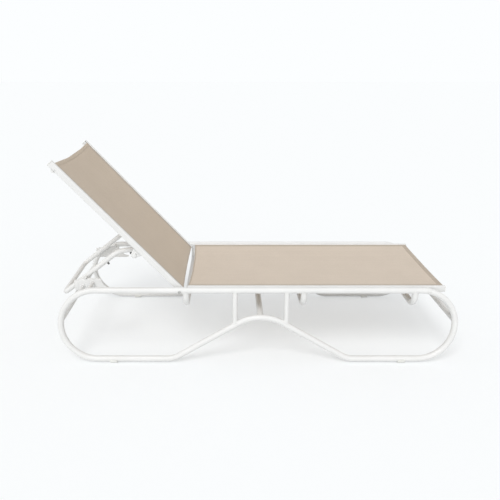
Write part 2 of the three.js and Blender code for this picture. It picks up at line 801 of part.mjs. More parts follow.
// Floor at zero, and the footprint's middle over the origin
group.updateMatrixWorld(true);
const box = new THREE.Box3().setFromObject(group, true);
group.position.set(-(box.min.x + box.max.x) / 2, 0, floorDepth);

export default group;
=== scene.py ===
# Sling chaise lounge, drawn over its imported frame: smooth bent tube with weld beads, slotted rails,
# woven slings with sewn hems, fasteners with hexagon sockets, and the photograph's camera.
# Metres. +X is the foot end, +Y the sitter's left, +Z up.

import math

import bmesh
import bpy
from mathutils import Matrix, Quaternion, Vector


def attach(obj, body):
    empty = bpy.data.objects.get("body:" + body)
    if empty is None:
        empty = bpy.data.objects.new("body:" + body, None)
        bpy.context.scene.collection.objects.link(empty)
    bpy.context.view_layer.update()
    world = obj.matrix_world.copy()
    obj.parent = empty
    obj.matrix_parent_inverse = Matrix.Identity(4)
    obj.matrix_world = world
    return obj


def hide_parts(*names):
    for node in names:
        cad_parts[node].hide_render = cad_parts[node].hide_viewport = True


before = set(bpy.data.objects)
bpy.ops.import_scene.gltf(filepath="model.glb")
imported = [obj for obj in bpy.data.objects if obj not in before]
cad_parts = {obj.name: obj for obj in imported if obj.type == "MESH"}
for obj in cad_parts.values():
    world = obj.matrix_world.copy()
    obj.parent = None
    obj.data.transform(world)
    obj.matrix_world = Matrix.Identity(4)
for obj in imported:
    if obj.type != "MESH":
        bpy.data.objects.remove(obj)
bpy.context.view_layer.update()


# Side loops. Each is one length of 30 mm aluminium tube, bent into a long loop that leans outward
# towards the floor, with an arch in the middle of its lower run. The closing weld is ground off
# and the loop is powder coated white.

TUBE = 0.015
LOOP_HALF = 0.960
LOOP_HEIGHT = 0.350
LOOP_END = LOOP_HEIGHT / 2
HALF_SPACING = 0.3405
LOOP_SPLAY = math.radians(7.2)
ARCH_AHEAD = 0.014
ARCH_RISE = 0.213
ARCH_SLOPE = math.radians(30)
ARCH_RADIUS = 0.220
KNEE_RADIUS = 0.120
ARCH_TOP = ARCH_RISE - LOOP_HEIGHT
ARCH_CORNER = ARCH_TOP + ARCH_RADIUS * (1 / math.cos(ARCH_SLOPE) - 1)
KNEE_X = (ARCH_CORNER + LOOP_HEIGHT) / math.tan(ARCH_SLOPE)

# From the loops' middle, on the top tubes' centre line, to the frame's origin on the floor
ORIGIN = Vector((0.006853, 0.0, 0.367240))
CHASSIS = Matrix.Translation(ORIGIN)
SIDES = {"right": -1, "left": 1}
ALONG_X = Vector((1, 0, 0))


def srgb(code):
    """Linear colour from an sRGB hex code."""
    parts = [int(code[i:i + 2], 16) / 255 for i in (0, 2, 4)]
    return (*(c / 12.92 if c <= 0.04045 else ((c + 0.055) / 1.055) ** 2.4 for c in parts), 1.0)


def add(tree, kind, inputs=None, **settings):
    """Adds a node and gives its outputs. An input is a value or another node's output."""
    node = tree.nodes.new(kind)
    for key, value in settings.items():
        setattr(node, key, value)
    for key, value in (inputs or {}).items():
        if isinstance(value, bpy.types.NodeSocket):
            tree.links.new(value, node.inputs[key])
        else:
            node.inputs[key].default_value = value
    return node.outputs


def material(name):
    """New material with an empty node tree."""
    made = bpy.data.materials.new(name)
    made.use_nodes = True
    made.node_tree.nodes.clear()
    return made, made.node_tree


# White polyester powder coat, sprayed and baked. It flows out to a satin skin with a fine orange
# peel of about 1.5 mm, and it is a touch duller in broad patches where the film is thinner.
white_coat, tree = material("white_powder_coat")
place = add(tree, "ShaderNodeTexCoord")["Object"]
film = add(tree, "ShaderNodeTexNoise", {"Vector": place, "Scale": 1 / 0.110, "Detail": 4.0})[0]
haze = add(tree, "ShaderNodeTexNoise", {"Vector": place, "Scale": 1 / 0.033, "Detail": 3.0})[0]
peel = add(tree, "ShaderNodeTexNoise", {"Vector": place, "Scale": 1 / 0.0015, "Detail": 1.0})[0]
colour = add(tree, "ShaderNodeMix", {0: film, 6: srgb("dadad8"), 7: srgb("e5e5e4")},
             data_type="RGBA")
gloss = add(tree, "ShaderNodeMapRange", {"Value": haze, "To Min": 0.40, "To Max": 0.52})
relief = add(tree, "ShaderNodeBump", {"Height": peel, "Strength": 0.10, "Distance": 0.0004})
shader = add(tree, "ShaderNodeBsdfPrincipled", {
    "Base Color": colour[2], "Roughness": gloss[0], "Normal": relief[0], "IOR": 1.5,
    "Coat Weight": 0.06, "Coat Roughness": 0.3,
})
add(tree, "ShaderNodeOutputMaterial", {"Surface": shader[0]})


def piece(name, shape, look, body, stands_for=(), matrix=CHASSIS, smooth=40, cloth=None):
    """Object from (points, faces), given in one of the chaise's own frames, riding on a body."""
    points, faces = shape
    mesh = bpy.data.meshes.new(name)
    mesh.from_pydata([matrix @ Vector(p) for p in points], [], faces)
    if cloth:
        layer = mesh.uv_layers.new(name="cloth")
        for corner in mesh.loops:
            layer.data[corner.index].uv = cloth[corner.vertex_index]
    grid = bmesh.new()
    grid.from_mesh(mesh)
    bmesh.ops.recalc_face_normals(grid, faces=grid.faces)
    grid.to_mesh(mesh)
    grid.free()
    mesh.polygons.foreach_set("use_smooth", [True] * len(mesh.polygons))
    mesh.set_sharp_from_angle(angle=math.radians(smooth))
    mesh.materials.append(look)
    made = bpy.data.objects.new(name, mesh)
    bpy.context.scene.collection.objects.link(made)
    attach(made, body)
    if stands_for:
        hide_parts(*stands_for)
    return made


def skin(rings, closed=False):
    """Points and faces through rings of points, with flat ends or joined to itself."""
    sides, count = len(rings[0]), len(rings)
    faces = []
    for i in range(count if closed else count - 1):
        for k in range(sides):
            a, b = i * sides + k, i * sides + (k + 1) % sides
            c, d = (i + 1) % count * sides + k, (i + 1) % count * sides + (k + 1) % sides
            faces.append([a, c, d, b])
    if not closed:
        faces.append(list(range(sides)))
        faces.append([(count - 1) * sides + k for k in reversed(range(sides))])
    return [p for ring in rings for p in ring], faces


def rounded(corners, radii, closed=False, step=4.0):
    """Polyline through the corners, each rounded to its radius."""
    count = len(corners)
    points = []
    for i, corner in enumerate(corners):
        if not closed and i in (0, count - 1):
            points.append(corner.copy())
            continue
        arrive = (corner - corners[i - 1]).normalized()
        leave = (corners[(i + 1) % count] - corner).normalized()
        turn = arrive.angle(leave)
        axis = arrive.cross(leave).normalized()
        start = corner - arrive * radii[i] * math.tan(turn / 2)
        centre = start + axis.cross(arrive) * radii[i]
        steps = max(2, math.ceil(math.degrees(turn) / step))
        for k in range(steps + 1):
            points.append(Quaternion(axis, turn * k / steps) @ (start - centre) + centre)
    kept = [p for i, p in enumerate(points) if i == 0 or (p - points[i - 1]).length > 1e-4]
    if closed and (kept[0] - kept[-1]).length < 1e-4:
        kept.pop()
    return kept


def sweep(path, radius, sides=32, closed=False, end_round=0.0):
    """Round tube along a path, mitred at every point, with softened ends where end_round is set."""
    radii = [radius] * len(path)
    if end_round:
        steps = ((0.0, 1.0), (0.3, 0.3), (1.0, 0.0))
        head, tail = (path[1] - path[0]).normalized(), (path[-1] - path[-2]).normalized()
        start = [path[0] + head * end_round * depth for depth, _ in steps]
        stop = [path[-1] - tail * end_round * depth for depth, _ in reversed(steps)]
        drawn_in = [radius - end_round * share for _, share in steps]
        radii = drawn_in + radii[1:-1] + drawn_in[::-1]
        path = start + path[1:-1] + stop
    count = len(path)

    def heading(i):
        return (path[(i + 1) % count] - path[i]).normalized()

    along = heading(count - 1) if closed else heading(0)
    upright = Vector((0, 0, 1)) if abs(along.z) < 0.7 else Vector((1, 0, 0))
    side = upright.cross(along).normalized()
    up = along.cross(side)
    rings = []
    for i in range(count):
        after = heading(i) if closed or i < count - 1 else along.copy()
        mitre = (along + after).normalized()
        ring = []
        for k in range(sides):
            angle = 2 * math.pi * k / sides
            offset = (side * math.cos(angle) + up * math.sin(angle)) * radii[i]
            ring.append(path[i] + offset - along * (offset.dot(mitre) / along.dot(mitre)))
        rings.append(ring)
        turn = along.rotation_difference(after)
        side, up, along = turn @ side, turn @ up, after
    return skin(rings, closed)


def loop_point(side, x, v):
    """Point of a leaning side loop: v is the height up the loop from its top tube's centre line."""
    y = side * (HALF_SPACING - v * math.sin(LOOP_SPLAY))
    return Vector((x, y, v * math.cos(LOOP_SPLAY)))


LEAN = {side: (loop_point(side, 0, 1) - loop_point(side, 0, 0)).normalized() for side in (-1, 1)}
LOOP_CORNERS = [
    (-LOOP_HALF, 0, LOOP_END), (LOOP_HALF, 0, LOOP_END), (LOOP_HALF, -LOOP_HEIGHT, LOOP_END),
    (ARCH_AHEAD + KNEE_X, -LOOP_HEIGHT, KNEE_RADIUS), (ARCH_AHEAD, ARCH_CORNER, ARCH_RADIUS),
    (ARCH_AHEAD - KNEE_X, -LOOP_HEIGHT, KNEE_RADIUS), (-LOOP_HALF, -LOOP_HEIGHT, LOOP_END),
]
for name, side in SIDES.items():
    path = rounded(
        [loop_point(side, x, v) for x, v, _ in LOOP_CORNERS], [r for _, _, r in LOOP_CORNERS], True,
    )
    piece(f"{name}_loop_tube", sweep(path, TUBE, 40, True), white_coat, "frame",
          [f"{name}_side_loop"])


# Struts. Two short 25 mm tubes in each loop stand between its top tube and the slopes of its arch.
# Their ends are coped to the loop and welded all round, under the same white coat.

STRUT = 0.0125
STRUT_SPREAD = 0.125
WELD = 0.0022


def gather(parts):
    """One list of points and faces from several."""
    points, faces = [], []
    for more_points, more_faces in parts:
        faces += [[i + len(points) for i in face] for face in more_faces]
        points += more_points
    return points, faces


def weld(place, branch, main, radius, main_radius=TUBE, bead=WELD):
    """Weld bead where a branch tube meets the side of a main tube, with a fifth of it proud."""
    proud = bead * 0.2
    d, m = branch.normalized(), main.normalized()
    e1 = (m - d * m.dot(d)).normalized()
    e2 = d.cross(e1)
    path = []
    for k in range(36):
        angle = 2 * math.pi * k / 36
        ring = (e1 * math.cos(angle) + e2 * math.sin(angle)) * (radius + proud)
        d_flat, r_flat = d - m * d.dot(m), ring - m * ring.dot(m)
        a, b = d_flat.dot(d_flat), d_flat.dot(r_flat)
        root = max(0.0, b * b - a * (r_flat.dot(r_flat) - (main_radius + proud) ** 2))
        path.append(place + ring + d * ((math.sqrt(root) - b) / a))
    return sweep(path, bead, 8, True)


for name, side in SIDES.items():
    for end, sign in (("head", -1), ("foot", 1)):
        x = ARCH_AHEAD + sign * STRUT_SPREAD
        top = loop_point(side, x, 0)
        foot = loop_point(side, x, ARCH_CORNER - STRUT_SPREAD * math.tan(ARCH_SLOPE))
        slope = foot - loop_point(side, ARCH_AHEAD, ARCH_CORNER)
        piece(f"{name}_{end}_strut_tube", gather([
            sweep([top, foot], STRUT),
            weld(top, foot - top, ALONG_X, STRUT), weld(foot, top - foot, slope, STRUT),
        ]), white_coat, "frame", [f"{name}_{end}_strut"])


# Cross tubes. Three straight tubes, of the loops' own size, hold the loops apart: one under the
# top of the arches and one near the middle of each round end. Coped, welded and coated. Branch
# and main tube are the same size, so the bead sinks a little at its sides.

WELD_SINK = 0.002
END_TUBE = -0.152

for name, x, v, loop_runs in (
    ("arch", ARCH_AHEAD, ARCH_TOP, {-1: ALONG_X, 1: ALONG_X}),
    ("head", -LOOP_HALF, END_TUBE, LEAN), ("foot", LOOP_HALF, END_TUBE, LEAN),
):
    right, left = loop_point(-1, x, v), loop_point(1, x, v)
    piece(f"{name}_cross_bar", gather([
        sweep([right, left], TUBE, 40),
        weld(right, left - right, loop_runs[-1], TUBE - WELD_SINK),
        weld(left, right - left, loop_runs[1], TUBE - WELD_SINK),
    ]), white_coat, "frame", [f"{name}_cross_tube"])


# Dropped bars. Three tubes hang from the top tubes in a shallow U, so that the sling can give
# under a sitter and not touch them. Bent on the same 55 mm former and welded at both ends.

DROP_X = {"head": -0.348, "middle": 0.221135, "foot": 0.757}
DROP_DEPTH = 0.082
DROP_RADIUS = 0.055
DOWNWARD = Vector((0, 0, -1))
for name, x in DROP_X.items():
    corners = [Vector((x, y, z)) for y, z in (
        (-HALF_SPACING, 0), (-HALF_SPACING, -DROP_DEPTH),
        (HALF_SPACING, -DROP_DEPTH), (HALF_SPACING, 0),
    )]
    piece(f"{name}_trough_bar", gather([
        sweep(rounded(corners, [0, DROP_RADIUS, DROP_RADIUS, 0]), TUBE, 40),
        weld(corners[0], DOWNWARD, ALONG_X, TUBE), weld(corners[3], DOWNWARD, ALONG_X, TUBE),
    ]), white_coat, "frame", [f"{name}_dropped_bar"])


# Floor glides. Moulded nylon saddles clipped round the underside of the runners, flat below for
# the floor.

GLIDE_X = 0.708
GLIDE_HALF = 0.018
GLIDE_OUTER = 0.021
GLIDE_FLAT = 0.020
GLIDE_EDGE = 0.0008

# Between two pieces that touch
GAP = 0.0003

# White nylon, injection moulded in a fine-etched mould: an even matte skin, grain of about 0.7 mm.
nylon, tree = material("white_moulded_nylon")
place = add(tree, "ShaderNodeTexCoord")["Object"]
cloud = add(tree, "ShaderNodeTexNoise", {"Vector": place, "Scale": 1 / 0.017, "Detail": 3.0})[0]
grain = add(tree, "ShaderNodeTexNoise", {"Vector": place, "Scale": 1 / 0.0007, "Detail": 1.0})[0]
colour = add(tree, "ShaderNodeMix", {0: cloud, 6: srgb("dcdcd7"), 7: srgb("e8e8e4")},
             data_type="RGBA")
relief = add(tree, "ShaderNodeBump", {"Height": grain, "Strength": 0.08, "Distance": 0.0003})
shader = add(tree, "ShaderNodeBsdfPrincipled", {
    "Base Color": colour[2], "Roughness": 0.45, "Normal": relief[0], "IOR": 1.53,
})
add(tree, "ShaderNodeOutputMaterial", {"Surface": shader[0]})


def arc(x, y, radius, start, stop, steps):
    """Outline points along an arc, angles in degrees."""
    angles = [math.radians(start + (stop - start) * i / steps) for i in range(steps + 1)]
    return [(x + radius * math.cos(a), y + radius * math.sin(a)) for a in angles]


def plate(outline, low, high, axis, soften=0.0):
    """Outline drawn out along X (from Y and Z) or Y (from X and Z), with softened rims."""
    area = sum(a[0] * b[1] - b[0] * a[1] for a, b in zip(outline, outline[1:] + outline[:1]))
    out = math.copysign(1, area)

    def ring(place, inset):
        made = []
        for i, (x, y) in enumerate(outline):
            (px, py), (nx, ny) = outline[i - 1], outline[(i + 1) % len(outline)]
            normal = Vector((ny - py, px - nx)).normalized() * out * inset
            made.append(Vector((place, x - normal.x, y - normal.y) if axis == "x"
                               else (x - normal.x, place, y - normal.y)))
        return made

    if not soften:
        return skin([ring(low, 0), ring(high, 0)])
    midway = soften * 0.3
    return skin([
        ring(low, soften), ring(low + midway, midway), ring(low + soften, 0),
        ring(high - soften, 0), ring(high - midway, midway), ring(high, soften),
    ])


for name, side in SIDES.items():
    for end, sign in (("head", -1), ("foot", 1)):
        runner = loop_point(side, sign * GLIDE_X, -LOOP_HEIGHT)
        under = [(y, max(z, -GLIDE_FLAT)) for y, z in arc(0, 0, GLIDE_OUTER, 180, 360, 28)]
        seat = arc(0, 0, TUBE + GAP, 360, 180, 24)
        outline = [(runner.y + y, runner.z + z) for y, z in under + seat]
        piece(f"{name}_{end}_saddle",
              plate(outline, runner.x - GLIDE_HALF, runner.x + GLIDE_HALF, "x", GLIDE_EDGE),
              nylon, "frame", [f"{name}_{end}_glide"])


# Seat rails and their foot caps. Each rail is an aluminium extrusion, 16 by 30 mm, with a hollow
# below and a keyhole slot above that holds the sling's bead. The cap is pressed into its foot end.

RAIL_Y = 0.311
RAIL_HALF_WIDTH = 0.008
RAIL_HALF_DEPTH = 0.015
RAIL_CORNER = 0.004
RAIL_INNER = RAIL_Y - RAIL_HALF_WIDTH
RAIL_OUTER = RAIL_Y + RAIL_HALF_WIDTH
RAIL_DROP = 0.003
SLOT_Z = 0.0095
SLOT_MOUTH = 0.0015
SLOT_BORE = 0.0035
SLOT_LIP = 0.003
CAP_THICKNESS = 0.003
CAP_EDGE = 0.0011
SEAT_RAIL = (-0.340, 0.906)
SEAT_LINE = Matrix.Translation(ORIGIN + Vector((0, 0, -RAIL_DROP)))


def box_outline(half, bottom, top, radius, steps=6):
    """Rounded rectangle in the plane across a rail."""
    x = half - radius
    return (
        arc(x, top - radius, radius, 0, 90, steps) + arc(-x, top - radius, radius, 90, 180, steps)
        + arc(-x, bottom + radius, radius, 180, 270, steps)
        + arc(x, bottom + radius, radius, 270, 360, steps)
    )


def rail_shape(side, low, high):
    """Slotted rail; the slot opens to the middle of the chaise."""
    lip = math.degrees(math.asin(SLOT_MOUTH / SLOT_BORE))
    centre = RAIL_HALF_WIDTH - SLOT_LIP - SLOT_BORE * math.cos(math.radians(lip))
    outline = [
        (RAIL_HALF_WIDTH, SLOT_Z - SLOT_MOUTH),
        *arc(centre, SLOT_Z, SLOT_BORE, -lip, lip - 360, 20),
        (RAIL_HALF_WIDTH, SLOT_Z + SLOT_MOUTH),
        *box_outline(RAIL_HALF_WIDTH, -RAIL_HALF_DEPTH, RAIL_HALF_DEPTH, RAIL_CORNER),
    ]
    return plate([(side * (RAIL_Y - y), z) for y, z in outline], low, high, "x")


def cap_shape(side, end):
    """Rail cap with its softened rim, at the rail's far end."""
    outline = box_outline(RAIL_HALF_WIDTH, -RAIL_HALF_DEPTH, RAIL_HALF_DEPTH, RAIL_CORNER)
    near = end + GAP
    return plate(
        [(side * (RAIL_Y - y), z) for y, z in outline], near, near + CAP_THICKNESS, "x", CAP_EDGE,
    )


for name, side in SIDES.items():
    piece(f"{name}_seat_extrusion", rail_shape(side, *SEAT_RAIL), white_coat, "frame",
          [f"{name}_seat_rail"], SEAT_LINE)
    piece(f"{name}_foot_end_cap", cap_shape(side, SEAT_RAIL[1]), nylon, "frame",
          [f"{name}_seat_rail_cap"], SEAT_LINE)


# Seat sling. One sheet of coated polyester mesh with a cord sewn into each side seam, which slides
# into the rails and is drawn tight. Its foot end has a doubled hem with two rows of stitches, its
# head end a narrow turned edge that draws in. It sags across its width, least at the foot.

# The ends along the rails, the sag at the near end, middle and far end, and how far the two free
# edges draw in
SEAT_SLING = {"span": (-0.339, 0.904), "sag": (0.009, 0.009, 0.003), "draw": (0.009, 0.001)}
RIPPLE = 0.0007
CLOTH_HALF = 0.001
BEAD = 0.0029
BEAD_Y = RAIL_INNER + SLOT_LIP + GAP + math.sqrt(BEAD ** 2 - SLOT_MOUTH ** 2)
SEAM_WIDTH = 0.022
SEAM_LIFT = 0.0003
SEAM_END_GAP = 0.004
HEM_EDGE = 0.0009
HEM_END_GAP = 0.003
STITCH_PITCH = 0.0042
STITCH_END_GAP = 0.007
STITCH_RISE = 0.0003
THREAD = 0.00035
CLOTH_SPANS = 40
CLOTH_STATIONS = 60


def woven_mesh(name, light, dark):
    """Vinyl-coated polyester yarn, woven over and under and heat set.

    Each yarn is round and slightly different in tone, so the cloth looks finely checked close by
    and plain from afar. The crown of each yarn is painted lighter and the dips between yarns darker,
    as painted shade. The real yarns are 1.2 mm apart, drawn here at 2.2 mm to stay visible.
    """
    pitch = 0.0022
    made, tree = material(name)
    cloth = add(tree, "ShaderNodeUVMap", uv_map="cloth")["UV"]
    axes = add(tree, "ShaderNodeSeparateXYZ", {"Vector": cloth})
    waves, cells = [], []
    for axis in ("X", "Y"):
        count = add(tree, "ShaderNodeMath", {0: axes[axis], 1: pitch}, operation="DIVIDE")[0]
        phase = add(tree, "ShaderNodeMath", {0: count, 1: math.pi}, operation="MULTIPLY")[0]
        sine = add(tree, "ShaderNodeMath", {0: phase}, operation="SINE")[0]
        waves.append(add(tree, "ShaderNodeMath", {0: sine}, operation="ABSOLUTE")[0])
        cells.append(add(tree, "ShaderNodeMath", {0: count}, operation="FLOOR")[0])
    both = add(tree, "ShaderNodeMath", {0: cells[0], 1: cells[1]}, operation="ADD")[0]
    even = add(tree, "ShaderNodeMath", {0: both, 1: 2.0}, operation="FLOORED_MODULO")[0]
    height = add(tree, "ShaderNodeMix", {0: even, 2: waves[0], 3: waves[1]})[0]
    weft = add(tree, "ShaderNodeMath", {0: cells[1], 1: even}, operation="MULTIPLY")[0]
    yarn = add(tree, "ShaderNodeCombineXYZ", {"X": cells[0], "Y": weft})[0]
    own_tone = add(tree, "ShaderNodeTexWhiteNoise", {"Vector": yarn})["Value"]
    broad = add(tree, "ShaderNodeTexNoise", {"Vector": cloth, "Scale": 1 / 0.160, "Detail": 3.0})[0]
    tone = add(tree, "ShaderNodeMath", {0: own_tone, 1: 0.35}, operation="MULTIPLY")[0]
    tone = add(tree, "ShaderNodeMath", {0: broad, 1: 0.35, 2: tone}, operation="MULTIPLY_ADD")[0]
    # Painted shade: the weave's height darkens the dips between yarns and lightens their crowns
    tone = add(tree, "ShaderNodeMath", {0: height, 1: 0.30, 2: tone}, operation="MULTIPLY_ADD")[0]
    colour = add(tree, "ShaderNodeMix", {0: tone, 6: srgb(dark), 7: srgb(light)}, data_type="RGBA")
    relief = add(tree, "ShaderNodeBump", {"Height": height, "Strength": 0.5, "Distance": 0.0005})
    shader = add(tree, "ShaderNodeBsdfPrincipled", {
        "Base Color": colour[2], "Roughness": 0.7, "Normal": relief[0], "IOR": 1.5,
        "Sheen Weight": 0.1, "Sheen Roughness": 0.5,
    })
    add(tree, "ShaderNodeOutputMaterial", {"Surface": shader[0]})
    return made


seat_cloth = woven_mesh("seat_coated_mesh", "d9cbbb", "beb0a0")
hem_cloth = woven_mesh("doubled_coated_mesh", "bfb1a1", "a89a8b")

# Bonded polyester thread, twisted from three plies and laid in a lockstitch: matte, slightly paler
# than the cloth, with fine uneven ribs where the plies turn every 0.8 mm or so.
thread, tree = material("bonded_sewing_thread")
place = add(tree, "ShaderNodeTexCoord")["Object"]
plies = add(tree, "ShaderNodeTexNoise", {"Vector": place, "Scale": 1 / 0.0008, "Detail": 2.0})[0]
colour = add(tree, "ShaderNodeMix", {0: plies, 6: srgb("bdb4a4"), 7: srgb("cfc6b6")},
             data_type="RGBA")
relief = add(tree, "ShaderNodeBump", {"Height": plies, "Strength": 0.3, "Distance": 0.0002})
shader = add(tree, "ShaderNodeBsdfPrincipled", {
    "Base Color": colour[2], "Roughness": 0.8, "Normal": relief[0], "IOR": 1.5,
})
add(tree, "ShaderNodeOutputMaterial", {"Surface": shader[0]})


def cloth_point(sling, y, x, lift=0.0):
    """Point of a sling's middle surface; x counts from 0 at its near end to 1 at its far end."""
    low, high = sling["span"]
    bow = 1 - min(1.0, abs(y) / RAIL_INNER) ** 2
    start, stop = low + sling["draw"][0] * bow, high - sling["draw"][1] * bow
    first, middle, last = sling["sag"]
    # The sag changes over the first and last quarter
    sag = middle + (first - middle) * max(0.0, 1 - 4 * x) + (last - middle) * max(0.0, 4 * x - 3)
    ripple = RIPPLE * math.sin(9 * math.pi * x) * bow
    return Vector((start + (stop - start) * x, y, SLOT_Z - sag * bow + ripple + lift))


def cloth_shape(sling):
    """Points, faces and cloth coordinates of a sling with the beads along its sides."""
    opening = math.degrees(math.asin(CLOTH_HALF / BEAD))
    ys = [RAIL_INNER * (2 * i / CLOTH_SPANS - 1) for i in range(CLOTH_SPANS + 1)]
    rings, cloth = [], []
    for i in range(CLOTH_STATIONS + 1):
        x = i / CLOTH_STATIONS
        low, high = (cloth_point(sling, RAIL_INNER, end).x for end in (0, 1))
        edge = low + (high - low) * x
        ring = [cloth_point(sling, y, x, CLOTH_HALF) for y in ys]
        ring += [Vector((edge, y, z))
                 for y, z in arc(BEAD_Y, SLOT_Z, BEAD, 180 - opening, opening - 180, 14)]
        ring += [cloth_point(sling, y, x, -CLOTH_HALF) for y in reversed(ys)]
        ring += [Vector((edge, y, z))
                 for y, z in arc(-BEAD_Y, SLOT_Z, BEAD, -opening, opening - 360, 14)]
        cloth += [(p.y, p.x) for p in ring]
        rings.append(ring)
    return skin(rings), cloth


def hem_shape(sling, width, far_end, lift):
    """Folded strip over and under one free edge of a sling."""
    low, high = sling["span"]
    share = width / (high - low)
    ends = (1 - share, 1.0) if far_end else (0.0, share)
    half = CLOTH_HALF + lift
    rings, cloth = [], []
    for i in range(CLOTH_SPANS + 1):
        y = (RAIL_INNER - HEM_END_GAP) * (2 * i / CLOTH_SPANS - 1)
        near, far = (cloth_point(sling, y, x) for x in ends)
        ring = [
            near + Vector((0, 0, HEM_EDGE - half)), near + Vector((HEM_EDGE, 0, -half)),
            far + Vector((-HEM_EDGE, 0, -half)), far + Vector((0, 0, HEM_EDGE - half)),
            far + Vector((0, 0, half - HEM_EDGE)), far + Vector((-HEM_EDGE, 0, half)),
            near + Vector((HEM_EDGE, 0, half)), near + Vector((0, 0, half - HEM_EDGE)),
        ]
        cloth += [(y, p.x) for p in ring]
        rings.append(ring)
    return skin(rings), cloth


def seam_shape(sling):
    """Both side seams of a sling, over and under it, where the cloth wraps round its beads."""
    half = CLOTH_HALF + SEAM_LIFT
    parts, cloth = [], []
    for side in (-1, 1):
        gaps = (SEAM_WIDTH, SEAM_WIDTH - half, 0.002, 0.001)
        ys = [side * (RAIL_INNER - gap) for gap in gaps]
        rings = []
        for i in range(CLOTH_STATIONS + 1):
            x = SEAM_END_GAP + (1 - 2 * SEAM_END_GAP) * i / CLOTH_STATIONS
            ring = [cloth_point(sling, y, x, z)
                    for y, z in zip(ys + ys[::-1], (0, half, half, 0, 0, -half, -half, 0))]
            cloth += [(p.y, p.x) for p in ring]
            rings.append(ring)
        parts.append(skin(rings))
    return gather(parts), cloth


def stitch_shape(sling, inset, far_end, lift):
    """A row of stitches on a hem's upper face."""
    low, high = sling["span"]
    x = inset / (high - low)
    x = 1 - x if far_end else x
    count = int(2 * (RAIL_INNER - STITCH_END_GAP) / STITCH_PITCH)
    reach = STITCH_PITCH * 0.36
    rise = CLOTH_HALF + lift + 0.00005
    parts = []
    for i in range(count):
        y = (i - (count - 1) / 2) * STITCH_PITCH
        path = [cloth_point(sling, y - reach, x, rise),
                cloth_point(sling, y, x, rise + STITCH_RISE),
                cloth_point(sling, y + reach, x, rise)]
        parts.append(sweep(path, THREAD, 6))
    return gather(parts)


def sling_pieces(name, sling, look, body, node, matrix, hems):
    """The sheet, its seams, its hems and their stitches, each a piece of its own on the one body.

    A hem is its name, whether it is at the far end, its width, how thick it lies on the cloth,
    its cloth, and its rows of stitches, counted from the free edge.
    """
    shape, cloth = cloth_shape(sling)
    sheet = piece(name, shape, look, body, [node], matrix, 60, cloth)
    # The side seams take the darker doubled cloth: partly its own tone, partly painted shade for the
    # shade along the rails' slots
    shape, cloth = seam_shape(sling)
    extras = [
        piece(f"{name}_side_seams_painted_shade", shape, hem_cloth, body, (), matrix, 60, cloth),
    ]
    for label, far_end, width, lift, hem_look, rows in hems:
        shape, cloth = hem_shape(sling, width, far_end, lift)
        extras.append(piece(
            f"{name}_{label}_hem", shape, hem_look, body, (), matrix, 60, cloth,
        ))
        shape = gather([stitch_shape(sling, row, far_end, lift) for row in rows])
        extras.append(piece(
            f"{name}_{label}_stitches", shape, thread, body, (), matrix,
        ))


sling_pieces("seat_sling_sheet", SEAT_SLING, seat_cloth, "frame", "seat_sling", SEAT_LINE, (
    ("head", False, 0.007, 0.0005, hem_cloth, (0.0045,)),
    ("foot", True, 0.024, 0.0008, hem_cloth, (0.019, 0.004)),
))


# Seat fasteners. A bolt through the foot bend of each loop and a screw near the back's pivot hold
# each seat rail, with a nylon spacer between rail and tube. The foot bolts are coated white.

FOOT_BOLT_X = 0.820
SEAT_SCREW_X = -0.296
BOLT = 0.004
BOLT_HEAD = 0.0075
BOLT_HEIGHT = 0.004
BOLT_SOCKET = 0.0025
SCREW = 0.003
SCREW_HEAD = 0.0055
SCREW_HEIGHT = 0.003
SCREW_SOCKET = 0.0016
SCREW_BITE = 0.014
COLLAR = 0.010
COLLAR_BORE = 0.0043
COLLAR_SINK = 0.0035
TUBE_INNER = HALF_SPACING - TUBE
TUBE_OUTER = HALF_SPACING + TUBE

# Stainless steel, turned and tumbled: a soft metallic sheen with fine turning marks near 0.4 mm.
steel, tree = material("tumbled_stainless_steel")
place = add(tree, "ShaderNodeTexCoord")["Object"]
cloud = add(tree, "ShaderNodeTexNoise", {"Vector": place, "Scale": 1 / 0.0083, "Detail": 4.0})[0]
marks = add(tree, "ShaderNodeTexNoise", {"Vector": place, "Scale": 1 / 0.0004, "Detail": 1.0})[0]
colour = add(tree, "ShaderNodeMix", {0: cloud, 6: srgb("a9a9a6"), 7: srgb("cbcbc9")},
             data_type="RGBA")
gloss = add(tree, "ShaderNodeMapRange", {"Value": cloud, "To Min": 0.25, "To Max": 0.40})
relief = add(tree, "ShaderNodeBump", {"Height": marks, "Strength": 0.08, "Distance": 0.0002})
shader = add(tree, "ShaderNodeBsdfPrincipled", {
    "Base Color": colour[2], "Metallic": 1.0, "Roughness": gloss[0], "Normal": relief[0],
})
add(tree, "ShaderNodeOutputMaterial", {"Surface": shader[0]})


def turned(place, profile, sides=32, hole=False):
    """Turned piece along Y, from (y, radius) pairs; a radius may be a function of the angle."""
    rings = []
    for y, radius in profile:
        ring = []
        for k in range(sides):
            angle = 2 * math.pi * k / sides
            r = radius(angle) if callable(radius) else radius
            ring.append(Vector((place.x + r * math.cos(angle), y, place.z + r * math.sin(angle))))
        rings.append(ring)
    return skin(rings, hole)


def hexagon(half_width):
    """Radius at each angle of a hexagon, from half its width across flats."""
    return lambda angle: half_width / math.cos((angle % (math.pi / 3)) - math.pi / 6)


def button_head(place, seat, tip, shank, head, height, socket):
    """Button-head bolt or screw along Y, with a hexagon socket half as deep as its head."""
    out = math.copysign(1, seat - tip)
    dome = [(seat + out * height * math.sin(math.radians(a)) ** 0.8,
             head * (0.42 + 0.58 * math.cos(math.radians(a)))) for a in (12, 30, 48, 66, 84)]
    return turned(place, [
        (tip, shank * 0.8), (tip + out * shank * 0.3, shank), (seat, shank), (seat, head * 0.97),
        (seat + out * height * 0.12, head), *dome,
        (seat + out * height, socket * 1.25), (seat + out * height, hexagon(socket)),
        (seat + out * height * 0.5, hexagon(socket * 0.96)),
    ])


def collar(place, low, high, outside, bore, sides=32, soften=0.0005):
    """Washer, bush or spacer along Y."""
    return turned(place, [
        (low, bore), (low, outside - soften), (low + soften, outside),
        (high - soften, outside), (high, outside - soften), (high, bore),
    ], sides, True)


